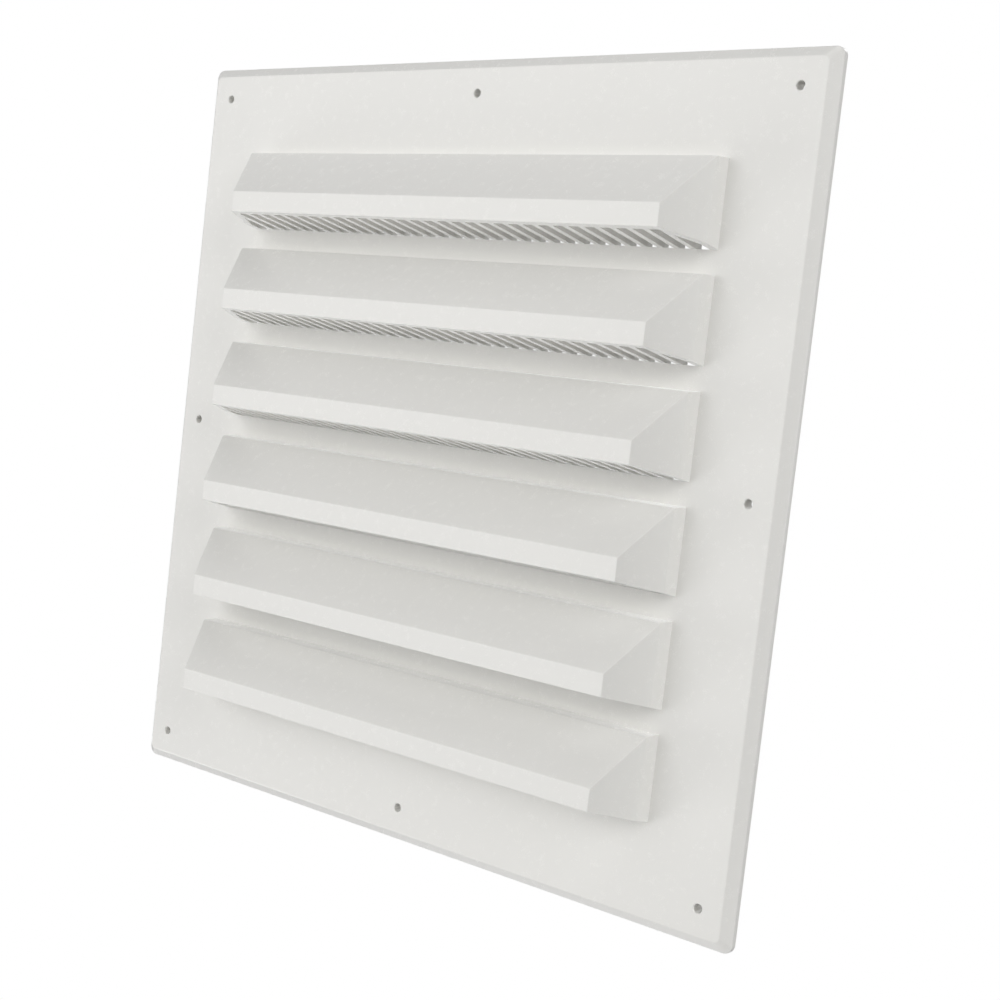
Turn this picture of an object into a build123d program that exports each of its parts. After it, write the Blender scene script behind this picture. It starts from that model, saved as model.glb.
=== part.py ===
from build123d import *
import os

# Louvred wall vent grille: one moulding in white plastic.
# X is to the right, Z is up and Y runs into the wall. The wall is the plane Y = 0, the grille's front looks
# along -Y, and the origin is the middle of the plate on the wall. All sizes are in millimetres.

# Louvre hoods
hood_count = 6
hood_gap = 11.32  # bare strip of plate between two hoods
hood_length = 302.6  # along X, where the hood meets the plate
hood_projection = 30.8  # front of the lip, ahead of the plate's face
foot_depth = 9.0  # low foot that stands square on the plate
foot_taper = 0.5  # moulding draft of the foot, over its depth
roof_drop = 24.2  # fall of the sloping roof, from the foot to the lip
lip_height = 10.7  # upright front lip
comb_drop = 5.6  # fall of the underside, from the lip back to the plate
end_taper = 12.6  # each slanted end draws in by this much, from the foot to the lip

# Comb of bars across the underside of each hood
bar_width = 3.3
bar_pitch = 8.92

# Face plate
border = 48.7  # flat margin round the field of hoods
face_height = 6.85  # front face, ahead of the wall
rim_height = 2.8  # upright outer edge, which stands on the wall
rim_width = 5.0  # land of that edge on the wall
bevel_inset = 4.8  # slope from the outer edge in to the front face
plate_corner_r = 4.5
face_corner_r = 3.0
recess_corner_r = 2.0
wall = 4.2  # thickness of the plate, the hoods and the combs

# Screw holes
screw_inset = 17.4  # hole centres, in from the plate's edges
screw_hole_d = 4.4
boss_wall = 3.0  # plastic round each hole, from the plate back to the wall

# Sizes that follow
hood_height = foot_taper + roof_drop + lip_height + comb_drop
hood_pitch = hood_height + hood_gap
field_height = hood_count * hood_height + (hood_count - 1) * hood_gap
plate_width = hood_length + 2 * border
plate_height = field_height + 2 * border
plate_back = face_height - wall
screw_x = plate_width / 2 - screw_inset
screw_z = plate_height / 2 - screw_inset
screw_spots = [(x, z) for x in (-screw_x, 0, screw_x) for z in (-screw_z, 0, screw_z) if (x, z) != (0, 0)]


def front_plane(ahead):
    """Sketch plane that faces the viewer, the given distance ahead of the wall."""
    return Plane.XZ.offset(ahead)


def hood_section(back):
    """Side view of one hood with its top at Z = 0, carried back to the given distance ahead of the wall."""
    lip = face_height + hood_projection
    roof_foot = -foot_taper
    lip_top = roof_foot - roof_drop
    lip_bottom = lip_top - lip_height
    outline = Polyline(
        (-back, 0),
        (-face_height, 0),
        (-face_height - foot_depth, roof_foot),
        (-lip, lip_top),
        (-lip, lip_bottom),
        (-face_height, -hood_height),
        (-back, -hood_height),
        close=True,
    )
    return make_face(outline)


def hood_plan(back):
    """Top view of one hood, with its slanted ends, carried back in the same way."""
    half_foot = hood_length / 2 - foot_taper
    half_lip = half_foot - end_taper
    right_side = [
        (hood_length / 2, -back),
        (hood_length / 2, -face_height),
        (half_foot, -face_height - foot_depth),
        (half_lip, -face_height - hood_projection),
    ]
    left_side = [(-x, y) for x, y in reversed(right_side)]
    return make_face(Polyline(*right_side, *left_side, close=True))


def hood_prism(section, plan):
    """Solid with the given side view and the given top view."""
    from_side = extrude(Plane.YZ * section, hood_length, both=True)
    from_top = extrude(Plane.XY * plan, hood_height + wall, both=True)
    return from_side & from_top


def comb_bars(back):
    """Upright slabs, one for each bar of a comb, with a gap in the middle of the hood."""
    bars_each_side = int((hood_length / 2 - wall - bar_width) / bar_pitch + 0.5)
    depth = face_height + hood_projection - back
    middle_y = -back - depth / 2
    slab = Box(bar_width, depth, 2 * hood_height)
    places = [side * (step + 0.5) * bar_pitch for side in (-1, 1) for step in range(bars_each_side)]
    return [Pos(x, middle_y, -hood_height) * slab for x in places]


def hood_void():
    """Hollow of one hood: a cavity that is open to the wall, and the gaps of the comb below it."""
    behind = plate_back - 2 * wall
    outer_section = hood_section(behind)
    inner_section = offset(outer_section, -wall, kind=Kind.INTERSECTION)
    inner_plan = offset(hood_plan(behind), -wall, kind=Kind.INTERSECTION)
    dropped = Pos(0, -2 * wall) * inner_section
    open_section = make_hull([*inner_section.edges(), *dropped.edges()]) & outer_section
    cavity = hood_prism(inner_section, inner_plan)
    gaps = hood_prism(open_section, inner_plan) - comb_bars(behind)
    return cavity + gaps


def face_plate():
    """Bevelled plate with a shallow recess behind it and a boss round each screw hole."""
    edge = RectangleRounded(plate_width, plate_height, plate_corner_r)
    face = RectangleRounded(plate_width - 2 * bevel_inset, plate_height - 2 * bevel_inset, face_corner_r)
    recess = RectangleRounded(plate_width - 2 * rim_width, plate_height - 2 * rim_width, recess_corner_r)
    boss = Circle(screw_hole_d / 2 + boss_wall)
    plate = extrude(front_plane(0) * edge, rim_height)
    plate += loft([front_plane(rim_height) * edge, front_plane(face_height) * face], ruled=True)
    plate -= extrude(front_plane(0) * recess, plate_back)
    return plate + [extrude(front_plane(0) * Pos(x, z) * boss, face_height) for x, z in screw_spots]


def grille():
    """The whole moulding."""
    hood = hood_prism(hood_section(plate_back), hood_plan(plate_back))
    void = hood_void()
    tops = [Pos(0, 0, field_height / 2 - row * hood_pitch) for row in range(hood_count)]
    screw_hole = Circle(screw_hole_d / 2)
    body = face_plate() + [top * hood for top in tops]
    body -= [top * void for top in tops]
    return body - [extrude(front_plane(0) * Pos(x, z) * screw_hole, face_height) for x, z in screw_spots]


os.makedirs("parts", exist_ok=True)
export_step(grille(), "parts/grille.step")
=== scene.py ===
"""Louvred vent grille in white plastic: the finished moulding, the studio round it and the camera.

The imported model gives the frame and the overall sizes. The moulding is modelled here with soft edges and
round corners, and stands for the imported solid. Lengths are in metres. X runs to the right, Z is up and Y runs
into the wall, so the front of the grille looks along -Y. A distance ahead of the wall is one along -Y.
"""

import logging
import math
from collections.abc import Callable, Iterator
from contextlib import contextmanager
from dataclasses import dataclass
from enum import Enum
from itertools import pairwise, product

import bmesh
import bpy
from mathutils import Matrix, Vector


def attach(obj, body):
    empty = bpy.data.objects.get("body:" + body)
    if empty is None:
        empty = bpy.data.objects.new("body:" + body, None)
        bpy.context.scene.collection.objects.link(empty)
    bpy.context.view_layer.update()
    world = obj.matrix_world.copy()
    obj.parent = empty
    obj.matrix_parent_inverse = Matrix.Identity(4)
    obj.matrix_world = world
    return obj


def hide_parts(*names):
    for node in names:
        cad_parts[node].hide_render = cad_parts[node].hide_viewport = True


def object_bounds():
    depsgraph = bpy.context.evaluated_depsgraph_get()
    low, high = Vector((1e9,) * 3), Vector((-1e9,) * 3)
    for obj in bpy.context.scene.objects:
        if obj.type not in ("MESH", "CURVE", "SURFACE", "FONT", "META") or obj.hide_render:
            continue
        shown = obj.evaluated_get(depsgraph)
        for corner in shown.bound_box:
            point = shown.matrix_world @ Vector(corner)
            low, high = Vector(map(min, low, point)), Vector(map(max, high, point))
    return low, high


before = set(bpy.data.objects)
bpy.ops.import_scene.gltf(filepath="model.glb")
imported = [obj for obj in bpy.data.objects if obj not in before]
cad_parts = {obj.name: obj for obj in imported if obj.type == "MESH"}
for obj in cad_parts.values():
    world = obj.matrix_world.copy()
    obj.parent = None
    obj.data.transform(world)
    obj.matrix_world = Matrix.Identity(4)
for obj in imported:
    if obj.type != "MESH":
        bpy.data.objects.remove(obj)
cad_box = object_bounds()

MM = 0.001
NEAR = 0.005 * MM  # two places closer than this are the same
CLEAR = 0.02 * MM  # keeps the faces of two solids off the same plane
FACING = 0.99  # a normal that reaches this far along an axis looks along it
QUAD = 4  # corners of a plain four-sided face
NOISE_MIDDLE = 0.5  # a noise pattern strays to both sides of this
MIX_LOW = 6  # colour inputs of a Mix node, by number
MIX_HIGH = 7
MIX_RESULT = 2  # its colour output
SHADER_FACTOR = 0  # inputs of a Mix Shader node, by number
SHADER_HIGH = 2
WHITE = (1.0, 1.0, 1.0, 1.0)
NODE = "grille"
BODY = "root"

log = logging.getLogger("vent_grille")


class Part(Enum):
    """Kind of part that is picked on a mesh, by the name that the operators use."""

    FACES = "FACE"
    EDGES = "EDGE"
    VERTICES = "VERT"


class Cut(Enum):
    """How one solid is worked into another, by the name that the modifier uses."""

    ADD = "UNION"
    REMOVE = "DIFFERENCE"


Element = bmesh.types.BMFace | bmesh.types.BMEdge | bmesh.types.BMVert
Test = Callable[[Element], bool]


def make_active(piece: bpy.types.Object) -> None:
    """Selects one object alone and makes it the active one.

    Args:
        piece: the object.
    """
    bpy.ops.object.select_all(action="DESELECT")
    piece.select_set(True)
    bpy.context.view_layer.objects.active = piece


def looks_ahead(face: bmesh.types.BMFace) -> bool:
    """True if a face looks away from the wall."""
    return face.normal.y < -FACING


def looks_back(face: bmesh.types.BMFace) -> bool:
    """True if a face looks at the wall."""
    return face.normal.y > FACING


def runs_ahead(edge: bmesh.types.BMEdge) -> bool:
    """True if an edge runs along the depth of the grille."""
    return abs(edge.verts[0].co.y - edge.verts[1].co.y) > NEAR


def lies_at(edge: bmesh.types.BMEdge, ahead: float) -> bool:
    """True if a whole edge lies that distance ahead of the wall."""
    return all(abs(v.co.y + ahead) < NEAR for v in edge.verts)


def turn_towards(place: Vector, aim: Vector) -> Matrix:
    """Gives the turn of a light or a camera at one place that looks at another."""
    return (aim - place).to_track_quat("-Z", "Y").to_matrix()


@dataclass(frozen=True)
class Outline:
    """One side of a hood, seen from the side or from above.

    Attributes:
        corners: (distance ahead of the wall, reach) of each corner, from the wall forwards.
    """

    corners: tuple[tuple[float, float], ...]

    def inset(self, wall: float) -> "Outline":
        """Moves the outline in by a wall and keeps its corners sharp.

        Args:
            wall: distance between the two outlines. A negative one moves it out.

        Returns:
            The moved outline, with its ends at the same distances ahead.
        """
        sides = []
        for (ahead, reach), (next_ahead, next_reach) in pairwise(self.corners):
            slope = (next_reach - reach) / (next_ahead - ahead)
            sides.append((slope, reach - slope * ahead - wall * math.hypot(1.0, slope)))
        meets = [(b - a) / (slope - next_slope) for (slope, a), (next_slope, b) in pairwise(sides)]
        starts = [self.corners[0][0], *meets]
        moved = [(ahead, slope * ahead + level) for ahead, (slope, level) in zip(starts, sides)]
        end = self.corners[-1][0]
        last_slope, last_level = sides[-1]
        return Outline((*moved, (end, last_slope * end + last_level)))

    def reach(self, ahead: float) -> float:
        """Gives the reach of the outline at one distance ahead of the wall.

        Args:
            ahead: the distance, not behind the first corner.

        Returns:
            The reach there. Past the last corner, the last side is carried on.
        """
        for (start, low), (end, high) in pairwise(self.corners):
            if ahead <= end:
                break
        return low + (high - low) * (ahead - start) / (end - start)


@dataclass(frozen=True)
class Station:
    """Upright rectangle across a hood, at one distance ahead of the wall."""

    ahead: float
    half_length: float
    top: float
    bottom: float

    @property
    def middle(self) -> Vector:
        """Centre of the rectangle."""
        return Vector((0.0, -self.ahead, (self.top + self.bottom) / 2))

    @property
    def height(self) -> float:
        """Height of the rectangle."""
        return self.top - self.bottom


@dataclass
class Bench:
    """One mesh at work. Its parts are picked by place or normal and shaped by the mesh operators."""

    piece: bpy.types.Object

    @classmethod
    def block(cls, name: str, low: Vector, high: Vector) -> "Bench":
        """Adds a block.

        Args:
            name: name of the new object.
            low: its lowest corner.
            high: its highest corner.

        Returns:
            The bench that holds it.
        """
        bpy.ops.object.select_all(action="DESELECT")
        bpy.ops.mesh.primitive_cube_add(size=1.0, location=(low + high) / 2)
        piece = bpy.context.active_object
        piece.name = name
        piece.scale = high - low
        bpy.ops.object.transform_apply(location=True, rotation=True, scale=True)
        return cls(piece)

    @classmethod
    def rod(cls, name: str, radius: float, back: float, front: float, sides: int) -> "Bench":
        """Adds a round rod that stands out from the wall.

        Args:
            name: name of the new object.
            radius: radius of the rod.
            back: its rear end, ahead of the wall.
            front: its front end, ahead of the wall.
            sides: number of flats round it.

        Returns:
            The bench that holds it.
        """
        bpy.ops.object.select_all(action="DESELECT")
        bpy.ops.mesh.primitive_cylinder_add(
            vertices=sides,
            radius=radius,
            depth=front - back,
            location=(0.0, -(front + back) / 2, 0.0),
            rotation=(math.pi / 2, 0.0, 0.0),
        )
        piece = bpy.context.active_object
        piece.name = name
        bpy.ops.object.transform_apply(location=True, rotation=True, scale=True)
        return cls(piece)

    @classmethod
    def loft(cls, name: str, stations: list[Station]) -> "Bench":
        """Draws a solid forwards from one rectangle to the next.

        Args:
            name: name of the new object.
            stations: the rectangles, from the wall forwards.

        Returns:
            The bench that holds it.
        """
        first, second = stations[:2]
        start = Station(second.ahead, first.half_length, first.top, first.bottom)
        low = Vector((-start.half_length, -start.ahead, start.bottom))
        high = Vector((start.half_length, -first.ahead, start.top))
        bench = cls.block(name, low, high)
        with bench.picked(Part.FACES, looks_ahead):
            bench.reshape(start, second)
        for station, following in pairwise(stations[1:]):
            with bench.picked(Part.FACES, looks_ahead):
                bpy.ops.mesh.extrude_region_move()
                bench.reshape(station, following)
        return bench

    @contextmanager
    def picked(self, part: Part, test: Test) -> Iterator[None]:
        """Opens the mesh for editing with some of its parts selected.

        Args:
            part: kind of part to pick.
            test: says whether a part is picked.
        """
        make_active(self.piece)
        bpy.ops.object.mode_set(mode="EDIT")
        bpy.ops.mesh.select_mode(type=part.value)
        bpy.ops.mesh.select_all(action="DESELECT")
        mesh = bmesh.from_edit_mesh(self.piece.data)
        parts = {Part.FACES: mesh.faces, Part.EDGES: mesh.edges, Part.VERTICES: mesh.verts}
        for element in parts[part]:
            if test(element):
                element.select_set(True)
        bmesh.update_edit_mesh(self.piece.data)
        yield
        bpy.ops.object.mode_set(mode="OBJECT")

    def reshape(self, now: Station, wanted: Station) -> None:
        """Sizes and moves the picked rectangle.

        Args:
            now: where the rectangle is.
            wanted: where it goes.
        """
        factors = (wanted.half_length / now.half_length, 1.0, wanted.height / now.height)
        bpy.ops.transform.resize(value=factors, center_override=now.middle)
        bpy.ops.transform.translate(value=wanted.middle - now.middle)

    def extrude(self, test: Test, forwards: float) -> None:
        """Draws the picked faces out along the depth of the grille.

        Args:
            test: says whether a face is drawn out.
            forwards: how far, away from the wall.
        """
        with self.picked(Part.FACES, test):
            bpy.ops.mesh.extrude_region_move(TRANSFORM_OT_translate={"value": (0.0, -forwards, 0.0)})

    def round_edges(self, test: Test, radius: float, segments: int) -> None:
        """Rounds the picked edges.

        Args:
            test: says whether an edge is rounded.
            radius: width of the round on each side of the edge.
            segments: number of flats in the round.
        """
        with self.picked(Part.EDGES, test):
            bpy.ops.mesh.bevel(offset=radius, offset_type="OFFSET", segments=segments, affect="EDGES")

    def copy_to(self, places: list[Vector]) -> "Bench":
        """Copies the mesh to several places, as one object, and takes the pattern away.

        Args:
            places: where each copy goes.

        Returns:
            The bench that holds the joined copies.
        """
        copies = []
        for place in places:
            make_active(self.piece)
            bpy.ops.object.duplicate()
            copy = bpy.context.active_object
            copy.location = place
            bpy.ops.object.transform_apply(location=True, rotation=True, scale=True)
            copies.append(copy)
        bpy.data.objects.remove(self.piece, do_unlink=True)
        make_active(copies[0])
        for copy in copies:
            copy.select_set(True)
        bpy.ops.object.join()
        return Bench(copies[0])

    def work(self, cut: Cut, tool: "Bench") -> None:
        """Adds another solid to this one, or cuts it away, and uses it up.

        Args:
            cut: what is done.
            tool: the other solid.
        """
        make_active(self.piece)
        boolean = self.piece.modifiers.new("cut", "BOOLEAN")
        boolean.operation = cut.value
        boolean.solver = "EXACT"
        boolean.object = tool.piece
        bpy.ops.object.modifier_apply(modifier=boolean.name)
        bpy.data.objects.remove(tool.piece, do_unlink=True)

    def shade(self, crease: float) -> None:
        """Shades the rounds smooth and keeps the large faces flat.

        Args:
            crease: angle above which an edge stays sharp.
        """
        make_active(self.piece)
        bpy.ops.object.shade_smooth_by_angle(angle=crease)
        weighted = self.piece.modifiers.new("normals", "WEIGHTED_NORMAL")
        weighted.keep_sharp = True
        bpy.ops.object.modifier_apply(modifier=weighted.name)


@dataclass(frozen=True)
class FacePlate:
    """Plate with an upright rim, a flat bevel, round corners and a shallow recess behind it."""

    width: float
    height: float
    face: float = 6.85 * MM  # front face, ahead of the wall
    rim: float = 2.8 * MM  # front of the upright rim, ahead of the wall
    rim_land: float = 5.0 * MM  # width of the rim on the wall
    bevel_inset: float = 4.8 * MM
    thickness: float = 4.2 * MM
    corner_radius: float = 4.5 * MM
    face_corner_radius: float = 3.0 * MM
    recess_corner_radius: float = 2.0 * MM
    corner_segments: int = 10
    edge_radius: float = 0.45 * MM
    edge_segments: int = 3

    @property
    def back(self) -> float:
        """Floor of the recess, ahead of the wall."""
        return self.face - self.thickness

    @property
    def middle(self) -> float:
        """Half-way through the plate, ahead of the wall, where hoods and bosses are rooted."""
        return (self.back + self.face) / 2

    def is_front_edge(self, edge: bmesh.types.BMEdge) -> bool:
        """True if an edge goes round the front of the rim or round the face."""
        return lies_at(edge, self.rim) or lies_at(edge, self.face)

    def draw_in(self, bench: Bench, looks: Test, ahead: float, inset: float, radius: float) -> None:
        """Draws one face of the plate in from the outline, to a corner radius of its own.

        Args:
            bench: the plate.
            looks: picks the face.
            ahead: place of the face, ahead of the wall.
            inset: distance in from the outline.
            radius: corner radius that the face gets.
        """
        half_width = self.width / 2 - inset
        half_height = self.height / 2 - inset
        factors = Vector((2 * half_width / self.width, 1.0, 2 * half_height / self.height))
        with bench.picked(Part.FACES, looks):
            bpy.ops.transform.resize(value=factors, center_override=(0.0, -ahead, 0.0))
        change = radius / self.corner_radius
        tighter = (change / factors.x, 1.0, change / factors.z)
        for side, level in product((-1, 1), repeat=2):

            def in_corner(vertex: bmesh.types.BMVert) -> bool:
                """Picks out one corner of the face.

                Args:
                    vertex: any vertex of the plate.

                Returns:
                    True if it is on the round of this corner.
                """
                short = (half_width - side * vertex.co.x, half_height - level * vertex.co.z)
                at_depth = abs(vertex.co.y + ahead) < NEAR
                return at_depth and all(-NEAR < s < self.corner_radius + NEAR for s in short)

            with bench.picked(Part.VERTICES, in_corner):
                corner = (side * half_width, -ahead, level * half_height)
                bpy.ops.transform.resize(value=tighter, center_override=corner)

    def build(self) -> Bench:
        """Models the plate.

        Returns:
            The bench that holds it.
        """
        half = Vector((self.width / 2, 0.0, self.height / 2))
        bench = Bench.block("plate", -half - Vector((0.0, self.rim, 0.0)), half)
        bench.round_edges(runs_ahead, self.corner_radius, self.corner_segments)
        bench.extrude(looks_ahead, self.face - self.rim)
        self.draw_in(bench, looks_ahead, self.face, self.bevel_inset, self.face_corner_radius)
        bench.extrude(looks_back, 0.0)
        self.draw_in(bench, looks_back, 0.0, self.rim_land, self.recess_corner_radius)
        # The land of the rim is made of quads, and the face with more corners is the floor of the recess.
        bench.extrude(lambda face: looks_back(face) and len(face.verts) > QUAD, self.back)
        bench.round_edges(self.is_front_edge, self.edge_radius, self.edge_segments)
        return bench


@dataclass(frozen=True)
class Hood:
    """Louvre hood: a low foot square on the plate, a sloping roof, slanted ends and an upright lip.

    Its heights are counted down from its top.
    """

    plate: FacePlate
    lip: float  # front of the lip, ahead of the wall
    length: float = 302.6 * MM
    foot_depth: float = 9.0 * MM
    foot_taper: float = 0.5 * MM
    roof_drop: float = 24.2 * MM
    lip_height: float = 10.7 * MM
    comb_drop: float = 5.6 * MM  # fall of the underside, from the lip back to the plate
    end_taper: float = 12.6 * MM
    wall: float = 4.2 * MM
    edge_radius: float = 0.3 * MM
    edge_segments: int = 3
    flat: float = math.radians(2)  # an edge that turns less than this lies within a face
    behind: float = -5.0 * MM  # the hollow is cut from here, behind the wall

    @property
    def height(self) -> float:
        """Height of the hood where it stands on the plate."""
        return self.foot_taper + self.roof_drop + self.lip_height + self.comb_drop

    @property
    def foot(self) -> float:
        """Front of the foot, ahead of the wall."""
        return self.plate.face + self.foot_depth

    @property
    def roof(self) -> Outline:
        """Top of the hood, seen from the side."""
        lip_top = -self.foot_taper - self.roof_drop
        corners = (
            (self.behind, 0.0),
            (self.plate.face, 0.0),
            (self.foot, -self.foot_taper),
            (self.lip, lip_top),
        )
        return Outline(corners)

    @property
    def underside(self) -> Outline:
        """Bottom of the hood, seen from the side."""
        lip_bottom = -self.foot_taper - self.roof_drop - self.lip_height
        corners = (
            (self.behind, -self.height),
            (self.plate.face, -self.height),
            (self.lip, lip_bottom),
        )
        return Outline(corners)

    @property
    def end(self) -> Outline:
        """Right end of the hood, seen from above."""
        half = self.length / 2
        half_foot = half - self.foot_taper
        corners = (
            (self.behind, half),
            (self.plate.face, half),
            (self.foot, half_foot),
            (self.lip, half_foot - self.end_taper),
        )
        return Outline(corners)

    def build(self) -> Bench:
        """Models the solid outer form, rooted in the plate.

        Returns:
            The bench that holds it.
        """
        stations = [
            Station(ahead, self.end.reach(ahead), self.roof.reach(ahead), self.underside.reach(ahead))
            for ahead in (self.plate.middle, self.plate.face, self.foot, self.lip)
        ]
        bench = Bench.loft("hood", stations)
        bench.round_edges(self.is_outer_edge, self.edge_radius, self.edge_segments)
        return bench

    def is_outer_edge(self, edge: bmesh.types.BMEdge) -> bool:
        """True if an edge of the outer form is clear of the plate and not within a flat face."""
        clear = any(-v.co.y > self.plate.face + NEAR for v in edge.verts)
        return clear and edge.calc_face_angle() > self.flat

    def build_hollow(self) -> Bench:
        """Models the hollow inside the hood, open at the underside and behind the plate.

        Returns:
            The bench that holds it.
        """
        roof = self.roof.inset(self.wall)
        end = self.end.inset(self.wall)
        front = self.lip - self.wall
        aheads = sorted({ahead for ahead, _ in (*roof.corners, *end.corners) if ahead < front} | {front})
        bottom = -self.height - CLEAR
        stations = [Station(ahead, end.reach(ahead), roof.reach(ahead), bottom) for ahead in aheads]
        return Bench.loft("hollow", stations)


@dataclass(frozen=True)
class Comb:
    """Row of bars across the underside of a hood, from the lip back to the plate."""

    hood: Hood
    bar_width: float = 3.3 * MM
    bar_pitch: float = 8.92 * MM
    bars: int = 32
    overlap: float = 5.0 * MM  # the bars are longer and deeper than the gaps that they part

    def build(self) -> Bench:
        """Models the bars, longer and deeper than they will show.

        Returns:
            The bench that holds them.
        """
        top = self.hood.underside.inset(-self.hood.wall)
        bottom = -self.hood.height - self.overlap
        stations = [Station(ahead, self.bar_width / 2, level, bottom) for ahead, level in top.corners]
        stations[0] = Station(stations[0].ahead - self.overlap, self.bar_width / 2, stations[0].top, bottom)
        first = -self.bar_pitch * (self.bars - 1) / 2
        places = [Vector((first + step * self.bar_pitch, 0.0, 0.0)) for step in range(self.bars)]
        return Bench.loft("bar", stations).copy_to(places)


@dataclass(frozen=True)
class ScrewHoles:
    """Plain screw holes at the corners and mid-sides of the plate, each with a boss behind it."""

    plate: FacePlate
    inset: float = 17.4 * MM  # hole centres, in from the edges of the plate
    radius: float = 2.2 * MM
    boss_wall: float = 3.0 * MM
    mouth: float = 0.3 * MM  # chamfer round the mouth of a hole
    overlap: float = 2.0 * MM  # the cutting rods stand out at both ends by this
    sides: int = 48

    @property
    def places(self) -> list[Vector]:
        """Centres of the holes, on the wall."""
        x = self.plate.width / 2 - self.inset
        z = self.plate.height / 2 - self.inset
        steps = [step for step in product((-1, 0, 1), repeat=2) if step != (0, 0)]
        return [Vector((right * x, 0.0, up * z)) for right, up in steps]

    def build_bosses(self) -> Bench:
        """Models the bosses that carry the holes back to the wall.

        Returns:
            The bench that holds them.
        """
        radius = self.radius + self.boss_wall
        return Bench.rod("boss", radius, 0.0, self.plate.middle, self.sides).copy_to(self.places)

    def build_bores(self) -> Bench:
        """Models the rods that cut the holes, with a flare for the mouth.

        Returns:
            The bench that holds them.
        """
        bench = Bench.rod("bore", self.radius, -self.overlap, self.plate.face - self.mouth, self.sides)
        bench.extrude(looks_ahead, self.mouth)
        flare = (self.radius + self.mouth) / self.radius
        centre = (0.0, -self.plate.face, 0.0)
        with bench.picked(Part.FACES, looks_ahead):
            bpy.ops.transform.resize(value=(flare, 1.0, flare), center_override=centre)
        bench.extrude(looks_ahead, self.overlap)
        return bench.copy_to(self.places)


@dataclass(frozen=True)
class Grille:
    """The whole moulding: a plate with a column of hoods, their combs and the screw holes."""

    plate: FacePlate
    hood: Hood
    comb: Comb
    screws: ScrewHoles
    hood_count: int = 6
    hood_gap: float = 11.32 * MM
    crease: float = math.radians(35)

    @property
    def hood_places(self) -> list[Vector]:
        """Middle of the top of each hood, on the wall."""
        pitch = self.hood.height + self.hood_gap
        top = (self.hood_count * pitch - self.hood_gap) / 2
        return [Vector((0.0, 0.0, top - row * pitch)) for row in range(self.hood_count)]

    def build(self) -> Bench:
        """Models the moulding as one closed solid.

        Returns:
            The bench that holds it.
        """
        body = self.plate.build()
        body.piece.name = "moulding"
        body.work(Cut.ADD, self.hood.build().copy_to(self.hood_places))
        body.work(Cut.ADD, self.screws.build_bosses())
        hollow = self.hood.build_hollow()
        hollow.work(Cut.REMOVE, self.comb.build())
        body.work(Cut.REMOVE, hollow.copy_to(self.hood_places))
        body.work(Cut.REMOVE, self.screws.build_bores())
        body.shade(self.crease)
        return body


class Wire:
    """Output of a node. Arithmetic on it adds Math nodes."""

    def __init__(self, graph: "Graph", socket: bpy.types.NodeSocket) -> None:
        """Keeps the node tree and the socket."""
        self.graph = graph
        self.socket = socket

    def __add__(self, other: "Wire | float") -> "Wire":
        """Adds a value to this one."""
        return self.graph.math("ADD", self, other)

    def __sub__(self, other: "Wire | float") -> "Wire":
        """Takes a value from this one."""
        return self.graph.math("SUBTRACT", self, other)

    def __rsub__(self, other: float) -> "Wire":
        """Takes this one from a number."""
        return self.graph.math("SUBTRACT", other, self)

    def __mul__(self, other: "Wire | float") -> "Wire":
        """Multiplies this one by a value."""
        return self.graph.math("MULTIPLY", self, other)

    __radd__ = __add__
    __rmul__ = __mul__


Link = Wire | float | tuple[float, ...]


@dataclass
class Graph:
    """Node tree of a material or of the world."""

    tree: bpy.types.NodeTree

    @classmethod
    def of(cls, owner: bpy.types.Material | bpy.types.World) -> "Graph":
        """Gives an owner an empty node tree.

        Args:
            owner: the material or the world.

        Returns:
            The graph of that tree.
        """
        owner.use_nodes = True
        owner.node_tree.nodes.clear()
        return cls(owner.node_tree)

    def add(
        self,
        kind: str,
        settings: dict[str, object],
        links: dict[str | int, Link],
        output: str | int = 0,
    ) -> Wire:
        """Adds a node.

        Args:
            kind: type of the node.
            settings: its own settings, which are set first.
            links: value or incoming wire of each input, by its name or number.
            output: name or number of the output that is wanted.

        Returns:
            The wanted output, or the first one of a node that has none.
        """
        node = self.tree.nodes.new(kind)
        for name, value in settings.items():
            setattr(node, name, value)
        for name, value in links.items():
            if isinstance(value, Wire):
                self.tree.links.new(value.socket, node.inputs[name])
            else:
                node.inputs[name].default_value = value
        return Wire(self, node.outputs[output] if node.outputs else None)

    def math(self, operation: str, left: Link, right: Link) -> Wire:
        """Adds a Math node on two values."""
        return self.add("ShaderNodeMath", {"operation": operation}, {0: left, 1: right})

    def noise(self, place: Wire, size: float, detail: float) -> Wire:
        """Adds a soft random pattern from 0 to 1.

        Args:
            place: coordinates that it follows.
            size: size of its spots.
            detail: number of finer layers in it.

        Returns:
            The pattern.
        """
        values = {"Vector": place, "Scale": 1.0 / size, "Detail": detail}
        return self.add("ShaderNodeTexNoise", {}, values, "Fac")

    def blend(self, mask: Wire, low: tuple[float, ...], high: tuple[float, ...]) -> Wire:
        """Mixes two colours by a mask."""
        colours = {"Factor": mask, MIX_LOW: low, MIX_HIGH: high}
        return self.add("ShaderNodeMix", {"data_type": "RGBA"}, colours, MIX_RESULT)

    def surface(self, values: dict[str | int, Link]) -> None:
        """Adds a surface shader with the given values, and the output that shows it."""
        shader = self.add("ShaderNodeBsdfPrincipled", {}, values)
        self.add("ShaderNodeOutputMaterial", {}, {"Surface": shader})


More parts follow.
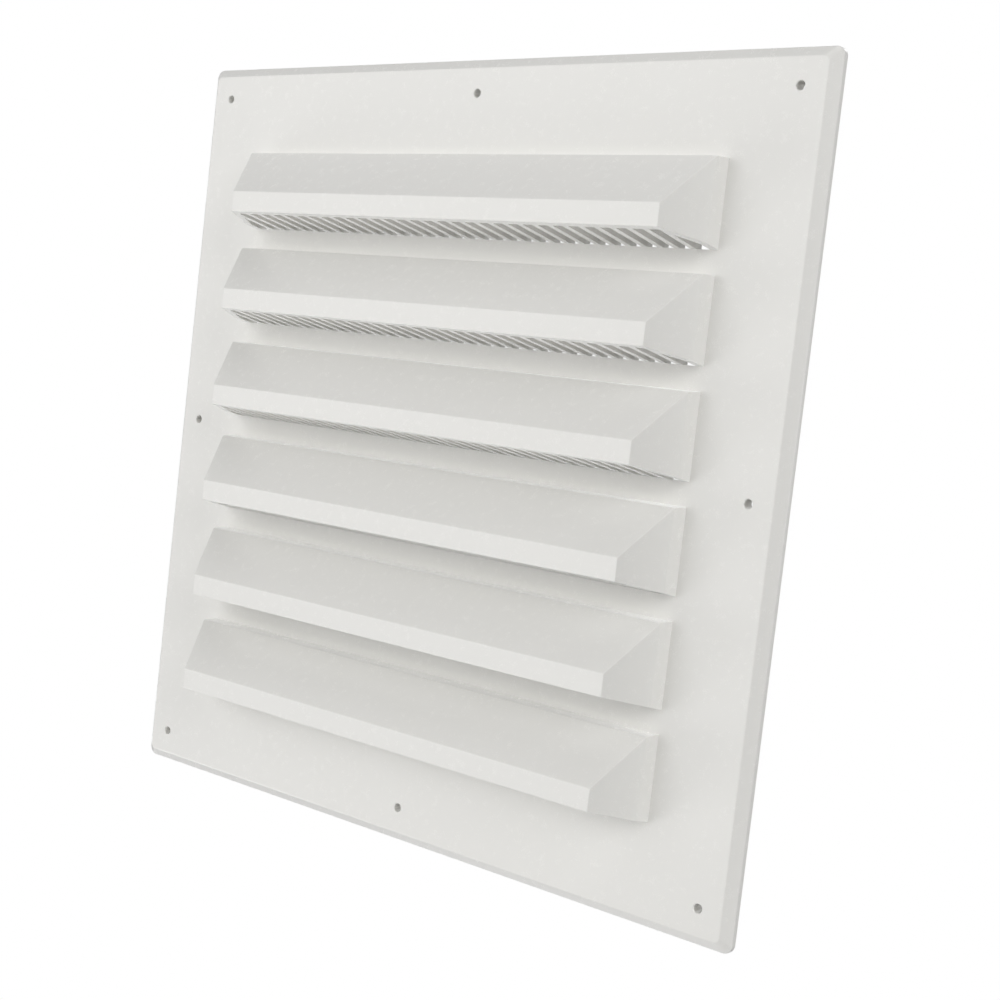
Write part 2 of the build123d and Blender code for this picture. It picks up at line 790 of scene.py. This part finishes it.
@dataclass(frozen=True)
class MouldedPlastic:
    """Off-white satin plastic with the faint grain of a textured mould."""

    name: str = "moulded_plastic"
    light_tone: tuple[float, ...] = (0.900, 0.892, 0.860, 1.0)
    deep_tone: tuple[float, ...] = (0.885, 0.877, 0.844, 1.0)
    roughness: float = 0.27
    roughness_range: float = 0.04
    cloud_size: float = 60.0 * MM
    cloud_detail: float = 2.0
    cloud_share: float = 0.7  # of the changes of tone: the flecks make the rest
    fleck_size: float = 4.0 * MM
    fleck_detail: float = 3.0
    fleck_share: float = 0.5  # of the changes of roughness: the grain makes the rest
    grain_size: float = 0.5 * MM
    grain_detail: float = 2.0
    grain_depth: float = 0.02 * MM
    grain_strength: float = 0.06
    sheen: float = 1.0
    sheen_roughness: float = 0.5

    def material(self) -> bpy.types.Material:
        """Makes the finish.

        Returns:
            A new material.
        """
        made = bpy.data.materials.new(self.name)
        graph = Graph.of(made)
        place = graph.add("ShaderNodeTexCoord", {}, {}, "Object")
        cloud = graph.noise(place, self.cloud_size, self.cloud_detail)
        fleck = graph.noise(place, self.fleck_size, self.fleck_detail)
        grain = graph.noise(place, self.grain_size, self.grain_detail)
        tint = self.cloud_share * cloud + (1.0 - self.cloud_share) * fleck
        mottle = self.fleck_share * fleck + (1.0 - self.fleck_share) * grain - NOISE_MIDDLE
        relief = {"Strength": self.grain_strength, "Distance": self.grain_depth, "Height": grain}
        values = {
            "Base Color": graph.blend(tint, self.light_tone, self.deep_tone),
            "Roughness": self.roughness + self.roughness_range * mottle,
            "Normal": graph.add("ShaderNodeBump", {}, relief),
            "Sheen Weight": self.sheen,
            "Sheen Roughness": self.sheen_roughness,
        }
        graph.surface(values)
        return made


@dataclass(frozen=True)
class Floor:
    """Plain pale floor, well below the grille, which hangs at wall height."""

    level: float = -2.4
    half_width: float = 1.8
    tone: tuple[float, ...] = (0.86, 0.86, 0.85, 1.0)
    roughness: float = 0.8

    def build(self) -> bpy.types.Object:
        """Lays the floor.

        Returns:
            The floor.
        """
        bpy.ops.object.select_all(action="DESELECT")
        bpy.ops.mesh.primitive_plane_add(size=2 * self.half_width, location=(0.0, 0.0, self.level))
        floor = bpy.context.active_object
        floor.name = "floor"
        made = bpy.data.materials.new("pale_floor")
        Graph.of(made).surface({"Base Color": self.tone, "Roughness": self.roughness})
        floor.data.materials.append(made)
        return floor


@dataclass(frozen=True)
class SoftBox:
    """Round soft light, aimed at the middle of the grille.

    Attributes:
        name: name of the light.
        turn: degrees round to the right, from straight ahead of the grille.
        rise: degrees up from the level of its middle.
        power: power in watts.
        size: width of the light.
        distance: distance from the middle of the grille.
    """

    name: str
    turn: float
    rise: float
    power: float
    size: float = 3.4
    distance: float = 5.0

    @property
    def place(self) -> Vector:
        """Where the light hangs."""
        turn = math.radians(self.turn)
        rise = math.radians(self.rise)
        level = self.distance * math.cos(rise)
        up = self.distance * math.sin(rise)
        return Vector((level * math.sin(turn), -level * math.cos(turn), up))

    def build(self) -> bpy.types.Object:
        """Hangs the light.

        Returns:
            The new light.
        """
        lamp = bpy.data.lights.new(self.name, "AREA")
        lamp.shape = "DISK"
        lamp.size = self.size
        lamp.energy = self.power
        light = bpy.data.objects.new(self.name, lamp)
        light.location = self.place
        light.rotation_euler = turn_towards(self.place, Vector()).to_euler()
        bpy.context.scene.collection.objects.link(light)
        return light


@dataclass(frozen=True)
class Studio:
    """Soft boxes all round the grille, and a white backdrop that sheds no light."""

    boxes: tuple[SoftBox, ...] = (
        SoftBox("left_low", turn=-70, rise=-30, power=85.5),
        SoftBox("front", turn=0, rise=15, power=71.1),
        SoftBox("right_high", turn=70, rise=30, power=63.0),
        SoftBox("top", turn=0, rise=88, power=43.2),
        SoftBox("right_low", turn=70, rise=-30, power=45.0),
        SoftBox("front_left", turn=-35, rise=0, power=44.1),
        SoftBox("right", turn=70, rise=15, power=34.2),
        SoftBox("front_left_high", turn=-35, rise=30, power=28.8),
        SoftBox("left", turn=-50, rise=14, power=19.8),
        SoftBox("front_left_low", turn=-35, rise=-30, power=10.8),
        SoftBox("back_high", turn=180, rise=35, power=22.5, size=1.2),
        SoftBox("back_right", turn=125, rise=0, power=58.5, size=1.2),
    )

    def build(self) -> None:
        """Sets up the surroundings, the lights and plain colours."""
        scene = bpy.context.scene
        scene.view_settings.view_transform = "Standard"
        scene.world = bpy.data.worlds.new("white_room")
        graph = Graph.of(scene.world)
        seen = graph.add("ShaderNodeLightPath", {}, {}, "Is Camera Ray")
        backdrop = graph.add("ShaderNodeBackground", {}, {"Color": WHITE, "Strength": 1.0})
        shown = graph.add("ShaderNodeMixShader", {}, {SHADER_FACTOR: seen, SHADER_HIGH: backdrop})
        graph.add("ShaderNodeOutputWorld", {}, {"Surface": shown})
        for box in self.boxes:
            box.build()


@dataclass(frozen=True)
class ViewPoint:
    """Camera a little above the middle of the grille, to its right, leaning to one side."""

    place: tuple[float, float, float] = (0.5510, -0.6458, 0.0411)
    aim: tuple[float, float, float] = (0.0386, 0.0, -0.0173)
    roll: float = math.radians(6.52)
    focal_length: float = 59.84  # in millimetres, as is the sensor
    sensor_width: float = 36.0

    def build(self) -> bpy.types.Object:
        """Sets up the camera.

        Returns:
            The new camera.
        """
        lens = bpy.data.cameras.new("camera")
        lens.sensor_width = self.sensor_width
        lens.lens = self.focal_length
        camera = bpy.data.objects.new("camera", lens)
        camera.location = self.place
        turn = turn_towards(Vector(self.place), Vector(self.aim))
        camera.rotation_euler = (turn @ Matrix.Rotation(self.roll, 3, "Z")).to_euler()
        bpy.context.scene.collection.objects.link(camera)
        bpy.context.scene.camera = camera
        return camera


def main() -> None:
    """Builds the grille, the studio and the camera in order."""
    logging.basicConfig(level=logging.INFO, format="%(name)s: %(message)s")
    low, high = cad_box
    plate = FacePlate(width=high.x - low.x, height=high.z - low.z)
    hood = Hood(plate=plate, lip=-low.y)
    grille = Grille(plate=plate, hood=hood, comb=Comb(hood=hood), screws=ScrewHoles(plate=plate))
    moulding = grille.build().piece
    moulding.data.materials.clear()
    moulding.data.materials.append(MouldedPlastic().material())
    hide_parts(NODE)
    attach(moulding, BODY)
    log.info("%s: %d faces", moulding.name, len(moulding.data.polygons))
    Floor().build()
    Studio().build()
    ViewPoint().build()


if __name__ == "__main__":
    main()
